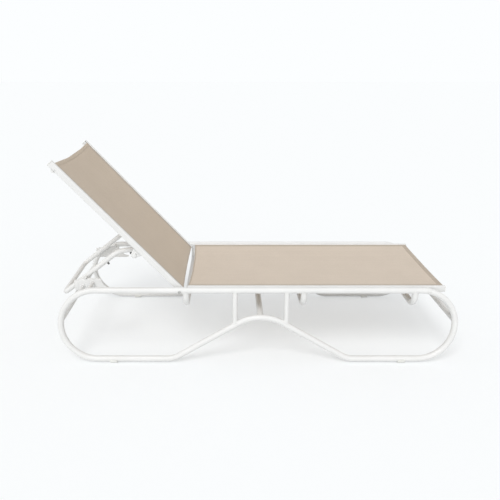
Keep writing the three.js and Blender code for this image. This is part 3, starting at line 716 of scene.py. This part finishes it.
past_bend = FOOT_BOLT_X - (LOOP_HALF - LOOP_END)
foot_bolt = loop_point(1, FOOT_BOLT_X, math.sqrt(LOOP_END ** 2 - past_bend ** 2) - LOOP_END)
seat_screw = Vector((SEAT_SCREW_X, 0, -RAIL_DROP))
for name, side in SIDES.items():
    piece(f"{name}_foot_button_bolt", button_head(
        foot_bolt, side * (foot_bolt.y + TUBE + 2 * GAP), side * RAIL_INNER,
        BOLT, BOLT_HEAD, BOLT_HEIGHT, BOLT_SOCKET,
    ), white_coat, "frame", [f"{name}_foot_bolt"])
    piece(f"{name}_seat_button_screw", button_head(
        seat_screw, side * (RAIL_INNER - GAP), side * (TUBE_INNER + SCREW_BITE),
        SCREW, SCREW_HEAD, SCREW_HEIGHT, SCREW_SOCKET,
    ), steel, "frame", [f"{name}_seat_screw"])
    for label, place in (("foot", foot_bolt), ("seat", seat_screw)):
        ends = sorted((side * (RAIL_OUTER + GAP), side * (TUBE_INNER + COLLAR_SINK)))
        piece(f"{name}_{label}_collar", collar(place, *ends, COLLAR, COLLAR_BORE), nylon, "frame",
              [f"{name}_{label}_spacer"])


# Back pivots. A steel bolt passes through each loop and turns free in a flanged nylon bush in the
# back's rail. A spacer keeps the rail off the tube, and a locking nut holds it on the inside.

PIVOT_X = -0.378
NUT = 0.0072
NUT_HEIGHT = 0.007
NUT_BORE = 0.0042
NUT_EDGE = 0.0006
BOLT_PAST_NUT = 0.002
BUSH_BORE = 0.0045
BUSH_SLEEVE = 0.0057
BUSH_FLANGE = 0.008
FLANGE = 0.0015
pivot = Vector((PIVOT_X, 0, -RAIL_DROP))
for name, side in SIDES.items():
    nut_seat = RAIL_INNER - GAP
    piece(f"{name}_pivot_button_bolt", button_head(
        pivot, side * (TUBE_OUTER + GAP), side * (nut_seat - NUT_HEIGHT - BOLT_PAST_NUT),
        BOLT, BOLT_HEAD, BOLT_HEIGHT, BOLT_SOCKET,
    ), steel, "frame", [f"{name}_pivot_bolt"])
    low, high = sorted((side * nut_seat, side * (nut_seat - NUT_HEIGHT)))
    piece(f"{name}_pivot_hex_nut", turned(pivot, [
        (low, NUT_BORE), (low, NUT - 0.0004), (low + NUT_EDGE, hexagon(NUT)),
        (high - NUT_EDGE, hexagon(NUT)), (high, NUT - 0.0004), (high, NUT_BORE),
    ], 36, True), steel, "frame", [f"{name}_pivot_nut"])
    ends = sorted((side * (RAIL_OUTER + 2 * GAP + FLANGE), side * (TUBE_INNER + COLLAR_SINK)))
    piece(f"{name}_pivot_collar", collar(pivot, *ends, COLLAR, COLLAR_BORE), nylon, "frame",
          [f"{name}_pivot_spacer"])
    flange = sorted((side * (RAIL_OUTER + GAP), side * (RAIL_OUTER + GAP + FLANGE)))
    sleeve = sorted((side * RAIL_INNER, side * (RAIL_OUTER + GAP)))
    piece(f"{name}_pivot_flanged_bush", gather([
        collar(pivot, *flange, BUSH_FLANGE, BUSH_BORE),
        collar(pivot, *sleeve, BUSH_SLEEVE, BUSH_BORE),
    ]), nylon, "back", [f"{name}_pivot_bush"])


# Back rails and their top caps. The same extrusion as the seat's, cut to 850 mm, with the same
# pressed-in nylon caps. The back's own frame runs up the rails from the pivot, Z to the sitter.

BACK_ANGLE = math.radians(47.3)
BACK_RAIL = (-0.017, 0.833)
BACK_LINE = (
    Matrix.Translation(ORIGIN + pivot)
    @ Matrix.Rotation(BACK_ANGLE, 4, "Y") @ Matrix.Rotation(math.pi, 4, "Z")
)
for name, side in SIDES.items():
    # In the back's own frame the two sides change places
    piece(f"{name}_back_extrusion", rail_shape(-side, *BACK_RAIL), white_coat, "back",
          [f"{name}_back_rail"], BACK_LINE)
    piece(f"{name}_top_end_cap", cap_shape(-side, BACK_RAIL[1]), nylon, "back",
          [f"{name}_back_rail_cap"], BACK_LINE)


# Back sling. The same coated mesh and beads as the seat's, drawn in darker colours as painted
# shade for the tilted back, which gets less light than the seat. Its top edge draws in between the
# rails, and its bottom edge, just behind the seat, is a narrow turned edge that stays straight.

BACK_SLING = {"span": (-0.013, 0.822), "sag": (0.006, 0.010, 0.010), "draw": (0.0, 0.012)}
# Painted shade: the seat's own cloth in darker colours
back_shaded_cloth = woven_mesh("back_mesh_painted_shade", "cebeab", "b4a490")
sling_pieces("back_sling_sheet", BACK_SLING, back_shaded_cloth, "back", "back_sling", BACK_LINE, (
    ("bottom", False, 0.007, 0.0005, hem_cloth, (0.0045,)),
    ("top", True, 0.020, 0.0004, back_shaded_cloth, (0.017, 0.004)),
))


# Upper bar of the back. A 22 mm tube near the top of the rails, coped so that it butts between
# them and runs on under them to their outer faces. A screw passes through each rail, and its white
# coat half fills the socket.

BAR = 0.011
UPPER_BAR = Vector((0.800, 0, -0.014))
UPPER_SCREW = Vector((0.800, 0, -0.008))
cope = RAIL_HALF_DEPTH + GAP + UPPER_BAR.z
cope_angle = math.degrees(math.asin(-cope / BAR))
saddle = arc(UPPER_BAR.x, UPPER_BAR.z, BAR, cope_angle, -180 - cope_angle, 24)
butt = RAIL_INNER - GAP
piece("upper_cross_bar", gather([
    sweep([Vector((UPPER_BAR.x, y, UPPER_BAR.z)) for y in (-butt, butt)], BAR),
    plate(saddle, -RAIL_OUTER, -butt, "y"), plate(saddle, butt, RAIL_OUTER, "y"),
]), white_coat, "back", ["upper_back_bar"], BACK_LINE)
for name, side in SIDES.items():
    piece(f"{name}_upper_bar_button_screw", button_head(
        UPPER_SCREW, -side * (RAIL_OUTER + GAP), -side * (RAIL_INNER - GAP - SCREW_BITE),
        SCREW, SCREW_HEAD, SCREW_HEIGHT, SCREW_SOCKET / 2,
    ), white_coat, "back", [f"{name}_upper_bar_screw"], BACK_LINE)


# Lower bar of the back. A 22 mm tube behind the rails that the prop turns on. It is welded through
# a 5 mm plate ear at each end, and each ear has two screws into its rail's inner face.

LOWER_BAR = Vector((0.270, 0, -0.042))
LOWER_BAR_TIP = RAIL_OUTER - 0.004
LOWER_BAR_EDGE = 0.0015
EAR = 0.005
EAR_FACE = RAIL_INNER - GAP - EAR
EAR_ROUND = 0.017
EAR_CORNER = 0.009
EAR_EDGE = 0.0006
EAR_SCREWS = [Vector((LOWER_BAR.x + end * 0.023, 0, -0.005)) for end in (-1, 1)]
EAR_SCREW_BITE = 0.012
FINE_WELD = 0.0018


def plate_weld(place, radius, bead, steps):
    """Weld bead round a tube that meets a plate square on, in the plane across Y."""
    return sweep([
        Vector((place.x + radius * math.cos(a), place.y, place.z + radius * math.sin(a)))
        for a in (2 * math.pi * k / steps for k in range(steps))
    ], bead, 8, True)


ear_outline = (
    arc(LOWER_BAR.x, LOWER_BAR.z, EAR_ROUND, 180, 360, 24)
    + arc(EAR_SCREWS[1].x, EAR_SCREWS[1].z, EAR_CORNER, 0, 90, 8)
    + arc(EAR_SCREWS[0].x, EAR_SCREWS[0].z, EAR_CORNER, 90, 180, 8)
)
parts = [sweep(
    [Vector((LOWER_BAR.x, y, LOWER_BAR.z)) for y in (-LOWER_BAR_TIP, LOWER_BAR_TIP)],
    BAR, end_round=LOWER_BAR_EDGE,
)]
for side in (-1, 1):
    faces = sorted((side * EAR_FACE, side * (EAR_FACE + EAR)))
    parts.append(plate(ear_outline, *faces, "y", EAR_EDGE))
    bead_centre = Vector((LOWER_BAR.x, side * (EAR_FACE - 0.0008), LOWER_BAR.z))
    parts.append(plate_weld(bead_centre, BAR + 0.001, FINE_WELD, 32))
piece("lower_cross_bar", gather(parts), white_coat, "back", ["lower_back_bar"],
      BACK_LINE)
for name, side in SIDES.items():
    for label, place in zip(("lower", "upper"), EAR_SCREWS):
        piece(f"{name}_{label}_ear_button_screw", button_head(
            place, -side * (EAR_FACE - GAP), -side * (RAIL_INNER + EAR_SCREW_BITE),
            SCREW, SCREW_HEAD, SCREW_HEIGHT, SCREW_SOCKET,
        ), steel, "back", [f"{name}_{label}_ear_screw"], BACK_LINE)


# Prop. One 25 mm tube bent into a U with a bend in both legs. A short knuckle tube welded across
# each leg's top turns on the lower bar in a nylon bush, and a pin welded to the outside of each leg
# rests in the racks. Tube, knuckles and pins have the white coat.

LEG_Y = 0.210
PROP_TUBE = 0.0125
PROP_LENGTHS = (0.095, 0.366)
PROP_SLOPES = (math.radians(7.8), math.radians(38))
PROP_BENDS = (0.122, 0.032)
PIN = 0.005
PIN_ALONG = 0.209
PIN_ROOT = LEG_Y + 0.006
PIN_TIP = 0.2465
PIN_WELD = 0.0014
KNUCKLE = 0.016
KNUCKLE_BORE = 0.013
KNUCKLE_HALF = 0.017
KNUCKLE_EDGE = 0.0008
SLEEVE_BORE = 0.0115


def back_point(turn, along, behind):
    """Point on the back after it has turned by some degrees from its rest."""
    angle = BACK_ANGLE + math.radians(turn)
    c, s = math.cos(angle), math.sin(angle)
    return Vector((PIVOT_X - along * c - behind * s, 0.0, along * s - behind * c - RAIL_DROP))


hinge = back_point(0, LOWER_BAR.x, -LOWER_BAR.z)
down = [Vector((-math.cos(slope), 0.0, -math.sin(slope))) for slope in PROP_SLOPES]
prop_bend = hinge + down[0] * PROP_LENGTHS[0]
prop_end = prop_bend + down[1] * PROP_LENGTHS[1]
pin = prop_bend + down[1] * PIN_ALONG
right_leg = [Vector((p.x, -LEG_Y, p.z)) for p in (hinge, prop_bend, prop_end)]
left_leg = [Vector((p.x, LEG_Y, p.z)) for p in (prop_end, prop_bend, hinge)]
bend, corner = PROP_BENDS
path = rounded(right_leg + left_leg, [0, bend, corner, corner, bend, 0])
# Each leg ends inside the wall of its knuckle
for end in (0, -1):
    path[end] = path[end] + down[0] * (KNUCKLE - 0.0015)
parts = [sweep(path, PROP_TUBE)]
for side in (-1, 1):
    ends = (side * LEG_Y - KNUCKLE_HALF, side * LEG_Y + KNUCKLE_HALF)
    parts.append(collar(hinge, *ends, KNUCKLE, KNUCKLE_BORE, 40, KNUCKLE_EDGE))
    middle = Vector((hinge.x, side * LEG_Y, hinge.z))
    parts.append(weld(middle, down[0], Vector((0, 1, 0)), PROP_TUBE, KNUCKLE, FINE_WELD))
    tip = side * PIN_TIP
    parts.append(turned(
        pin, [(side * PIN_ROOT, PIN), (tip - side * 0.001, PIN), (tip, PIN - 0.001)], 24,
    ))
    base = Vector((pin.x, side * LEG_Y, pin.z))
    parts.append(weld(base, Vector((0, side, 0)), down[1], PIN, PROP_TUBE, PIN_WELD))
piece("prop_tube", gather(parts), white_coat, "prop", ["prop"])
for name, side in SIDES.items():
    outer = side * (LEG_Y + KNUCKLE_HALF)
    flange = sorted((outer + side * GAP, outer + side * (GAP + FLANGE)))
    sleeve = sorted((outer + side * GAP, side * (LEG_Y - KNUCKLE_HALF)))
    piece(f"{name}_knuckle_flanged_bush", gather([
        collar(hinge, *flange, KNUCKLE, SLEEVE_BORE),
        collar(hinge, *sleeve, KNUCKLE_BORE - GAP, SLEEVE_BORE),
    ]), nylon, "prop", [f"{name}_knuckle_bush"])


# Buffers. Four small rubber pegs under the prop's legs keep it off the rails and the frame when
# the back lies flat. They are pressed into holes in the tube.

BUFFER = 0.005
BUFFER_DEPTH = 0.011
BUFFER_SEAT = 0.002
BUFFER_EDGE = 0.002

# Black rubber, press moulded: a dull, slightly dusty skin with grain of about 0.7 mm.
rubber, tree = material("black_moulded_rubber")
place = add(tree, "ShaderNodeTexCoord")["Object"]
dust = add(tree, "ShaderNodeTexNoise", {"Vector": place, "Scale": 1 / 0.017, "Detail": 3.0})[0]
grain = add(tree, "ShaderNodeTexNoise", {"Vector": place, "Scale": 1 / 0.0007, "Detail": 1.0})[0]
colour = add(tree, "ShaderNodeMix", {0: dust, 6: srgb("4a4a49"), 7: srgb("626160")},
             data_type="RGBA")
relief = add(tree, "ShaderNodeBump", {"Height": grain, "Strength": 0.2, "Distance": 0.0003})
shader = add(tree, "ShaderNodeBsdfPrincipled", {
    "Base Color": colour[2], "Roughness": 0.75, "Normal": relief[0], "IOR": 1.52,
})
add(tree, "ShaderNodeOutputMaterial", {"Surface": shader[0]})
for name, side in SIDES.items():
    for label, start, leg, along in (("upper", hinge, 0, 0.036), ("lower", prop_bend, 1, 0.082)):
        slope = PROP_SLOPES[leg]
        below = Vector((math.sin(slope), 0, -math.cos(slope)))
        top = start + down[leg] * along + Vector((0, side * LEG_Y, 0))
        path = [top + below * (PROP_TUBE + depth) for depth in (-BUFFER_SEAT, BUFFER_DEPTH)]
        piece(f"{name}_{label}_rubber_stop", sweep(path, BUFFER, 24, end_round=BUFFER_EDGE),
              rubber, "prop", [f"{name}_{label}_buffer"])


# Racks. A notched 8 mm plate inside each loop at the head end, with three shallow seats for the
# prop's pins and a toe that runs towards the foot. Two legs are welded to it and to the loop.

RACK_OUTER = 0.2405
RACK_THICKNESS = 0.008
RACK_DEPTH = 0.062
RACK_END = 0.009
RACK_FALL = 0.002
RACK_TOE = 0.052
RACK_CORNER = 0.006
RACK_EDGE = 0.0008
NOTCH_DEPTH = 0.004
NOTCH_RADIUS = 0.006
RACK_LEG = 0.010
RACK_LEG_INSETS = (0.040, 0.090)
LEG_WELD = 0.0016

# Degrees that the back has turned from rest at each seat, and how far the prop turns for each of
# them; a seat lies 1 mm under its pin
SEAT_TURNS = (-12, 0, 12)
PROP_RATIO = -1.75
notches = []
for turn in SEAT_TURNS:
    swing = Matrix.Rotation(math.radians(turn * (1 + PROP_RATIO)), 3, "Y")
    on_pin = swing @ (pin - hinge) + back_point(turn, LOWER_BAR.x, -LOWER_BAR.z)
    notches.append(on_pin - Vector((0, 0, PIN + 0.001)))
rack_head, rack_foot = notches[0].x - RACK_END, notches[-1].x + RACK_END
rack_bottom = notches[1].z - RACK_DEPTH
toe = rack_foot + RACK_TOE
dip = math.degrees(math.asin(1 - NOTCH_DEPTH / NOTCH_RADIUS))
rack_outline = (
    arc(toe - RACK_CORNER, rack_bottom + RACK_CORNER, RACK_CORNER, 360, 270, 8)
    + arc(rack_head + RACK_CORNER, rack_bottom + RACK_CORNER, RACK_CORNER, 270, 180, 8)
    + [(rack_head, notches[0].z - RACK_FALL)]
)
for notch in notches:
    middle = notch.z - NOTCH_DEPTH + NOTCH_RADIUS
    rack_outline += arc(notch.x, middle, NOTCH_RADIUS, 180 + dip, 360 - dip, 12)
rack_outline += arc(toe, notches[-1].z - RACK_FALL, RACK_TOE, 180, 270, 12)
for name, side in SIDES.items():
    ends = sorted((side * (RACK_OUTER - RACK_THICKNESS), side * RACK_OUTER))
    parts = [plate(rack_outline, *ends, "y", RACK_EDGE)]
    for inset in RACK_LEG_INSETS:
        past_bend = max(0.0, -(rack_head + inset) - (LOOP_HALF - LOOP_END))
        fall = math.sqrt(LOOP_END ** 2 - past_bend ** 2) - LOOP_END
        foot = loop_point(side, rack_head + inset, fall)
        start = Vector((foot.x, side * (RACK_OUTER - 0.002), foot.z))
        parts.append(sweep([start, foot], RACK_LEG))
        parts.append(weld(foot, start - foot, ALONG_X, RACK_LEG, TUBE, FINE_WELD))
        bead_centre = Vector((foot.x, side * (RACK_OUTER + 0.0006), foot.z))
        parts.append(plate_weld(bead_centre, RACK_LEG + 0.0008, LEG_WELD, 28))
    piece(f"{name}_notched_rack", gather(parts), white_coat, "frame", [f"{name}_rack"])


# Floor, light and camera. A white studio sweep with white all round, under two broad lamps in
# front of the chaise, the stronger one to the left. The camera is fitted to the photograph.

FLOOR_HALF = 30.0
FLOOR_WHITE = 0.46
SKY_STRENGTH = 0.62
CAMERA_PLACE = Vector((-0.145, -2.7295, 1.0637))
CAMERA_DIP = 19.65


def looked_at(tree):
    """One where a ray comes from the camera, a mirror image or clear material, else zero."""
    ray = add(tree, "ShaderNodeLightPath")
    seen = add(tree, "ShaderNodeMath", {0: ray["Is Camera Ray"], 1: ray["Is Glossy Ray"]},
               operation="MAXIMUM")
    return add(tree, "ShaderNodeMath", {0: seen[0], 1: ray["Is Transmission Ray"]},
               operation="MAXIMUM")[0]


# Matte white paper sweep. The photograph's floor was lit apart from the object, so the camera sees
# it mixed with plain white, and its shadows at a little over half their depth.
paper, tree = material("matte_white_sweep")
lit = add(tree, "ShaderNodeBsdfPrincipled", {
    "Base Color": srgb("f6f8f9"), "Roughness": 0.9, "Specular IOR Level": 0.1,
})
white = add(tree, "ShaderNodeEmission", {"Color": srgb("fcfeff"), "Strength": 1.0})
share = add(tree, "ShaderNodeMath", {0: looked_at(tree), 1: FLOOR_WHITE}, operation="MULTIPLY")
both = add(tree, "ShaderNodeMixShader", {0: share[0], 1: lit[0], 2: white[0]})
add(tree, "ShaderNodeOutputMaterial", {"Surface": both[0]})
floor_mesh = bpy.data.meshes.new("floor")
corners = [(x * FLOOR_HALF, y * FLOOR_HALF, 0) for x, y in ((-1, -1), (1, -1), (1, 1), (-1, 1))]
floor_mesh.from_pydata(corners, [], [(0, 1, 2, 3)])
floor_mesh.materials.append(paper)
floor = bpy.data.objects.new("floor", floor_mesh)
bpy.context.scene.collection.objects.link(floor)

world = bpy.data.worlds.new("studio")
world.use_nodes = True
tree = world.node_tree
tree.nodes.clear()
sky = add(tree, "ShaderNodeBackground", {"Color": srgb("ffffff"), "Strength": SKY_STRENGTH})
backdrop = add(tree, "ShaderNodeBackground", {"Color": srgb("fcfeff"), "Strength": 1.0})
both = add(tree, "ShaderNodeMixShader", {0: looked_at(tree), 1: sky[0], 2: backdrop[0]})
add(tree, "ShaderNodeOutputWorld", {"Surface": both[0]})
bpy.context.scene.world = world

# Each lamp's energy, angle across, and tilt towards the front and towards the left, in degrees
for name, energy, spread, forward, leftward in (
    ("overhead", 1.42, 27, 35, 18), ("front", 0.45, 50, 62, -20),
):
    lamp_data = bpy.data.lights.new(name, "SUN")
    lamp_data.energy = energy
    lamp_data.angle = math.radians(spread)
    lamp = bpy.data.objects.new(name, lamp_data)
    lamp.rotation_euler = (math.radians(forward), math.radians(-leftward), 0)
    bpy.context.scene.collection.objects.link(lamp)

camera_data = bpy.data.cameras.new("camera")
camera_data.sensor_width = 36.0
camera_data.sensor_fit = "HORIZONTAL"
camera_data.lens = 39.06
camera_data.shift_x = 0.044
camera_data.shift_y = -0.0017
camera = bpy.data.objects.new("camera", camera_data)
camera.location = ORIGIN + CAMERA_PLACE
camera.rotation_euler = (math.radians(90 - CAMERA_DIP), 0, 0)
bpy.context.scene.collection.objects.link(camera)
bpy.context.scene.camera = camera
bpy.context.scene.view_settings.view_transform = "Standard"
